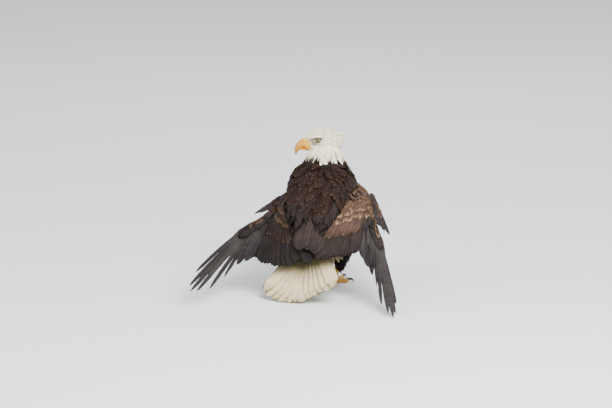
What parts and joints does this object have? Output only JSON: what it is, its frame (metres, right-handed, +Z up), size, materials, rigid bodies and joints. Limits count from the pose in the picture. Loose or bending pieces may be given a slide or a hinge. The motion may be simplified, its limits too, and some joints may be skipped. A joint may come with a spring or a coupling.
{
  "type": "bald eagle figure",
  "caption": "Life-size bald eagle standing with its wings half open and drooped, its tail fanned and resting on the ground, and its head turned over its left shoulder.",
  "frame": {"origin": "middle of the whole bird's bounding box, on the ground", "axes": "+Z up; the breast faces -Y and the tail +Y; the bird's left side is +X"},
  "size_m": [0.6772, 0.6356, 0.5081],
  "materials": {
    "white_plumage": "matte, slightly glossy feather",
    "back_plumage": "matte feather with paler fringes",
    "thigh_plumage": "matte loose feather",
    "wing_plumage": "matte feather with pale tips",
    "flight_feathers": "satin stiff feather",
    "horn": "satin horn",
    "cere": "waxy skin",
    "scaly_skin": "scaled skin",
    "claw": "glossy black horn",
    "eye": "wet gloss"
  },
  "bodies": {
    "root": {"bill_lower": "horn", "bill_upper": "horn", "cere": "cere", "claw_left_hallux": "claw", "claw_left_inner": "claw", "claw_left_middle": "claw", "claw_left_outer": "claw", "claw_right_hallux": "claw", "claw_right_inner": "claw", "claw_right_middle": "claw", "claw_right_outer": "claw", "eye_left": "eye", "eye_right": "eye", "head": "white_plumage", "neck": "back_plumage", "shank_left": "scaly_skin", "shank_right": "scaly_skin", "tail": "white_plumage", "thigh_left": "thigh_plumage", "thigh_right": "thigh_plumage", "toe_left_hallux": "scaly_skin", "toe_left_inner": "scaly_skin", "toe_left_middle": "scaly_skin", "toe_left_outer": "scaly_skin", "toe_right_hallux": "scaly_skin", "toe_right_inner": "scaly_skin", "toe_right_middle": "scaly_skin", "toe_right_outer": "scaly_skin", "trunk": "back_plumage", "wing_left_alula": "flight_feathers", "wing_left_arm": "wing_plumage", "wing_left_hand": "flight_feathers", "wing_right_alula": "flight_feathers", "wing_right_arm": "wing_plumage", "wing_right_hand": "flight_feathers"}
  },
  "joints": []
}
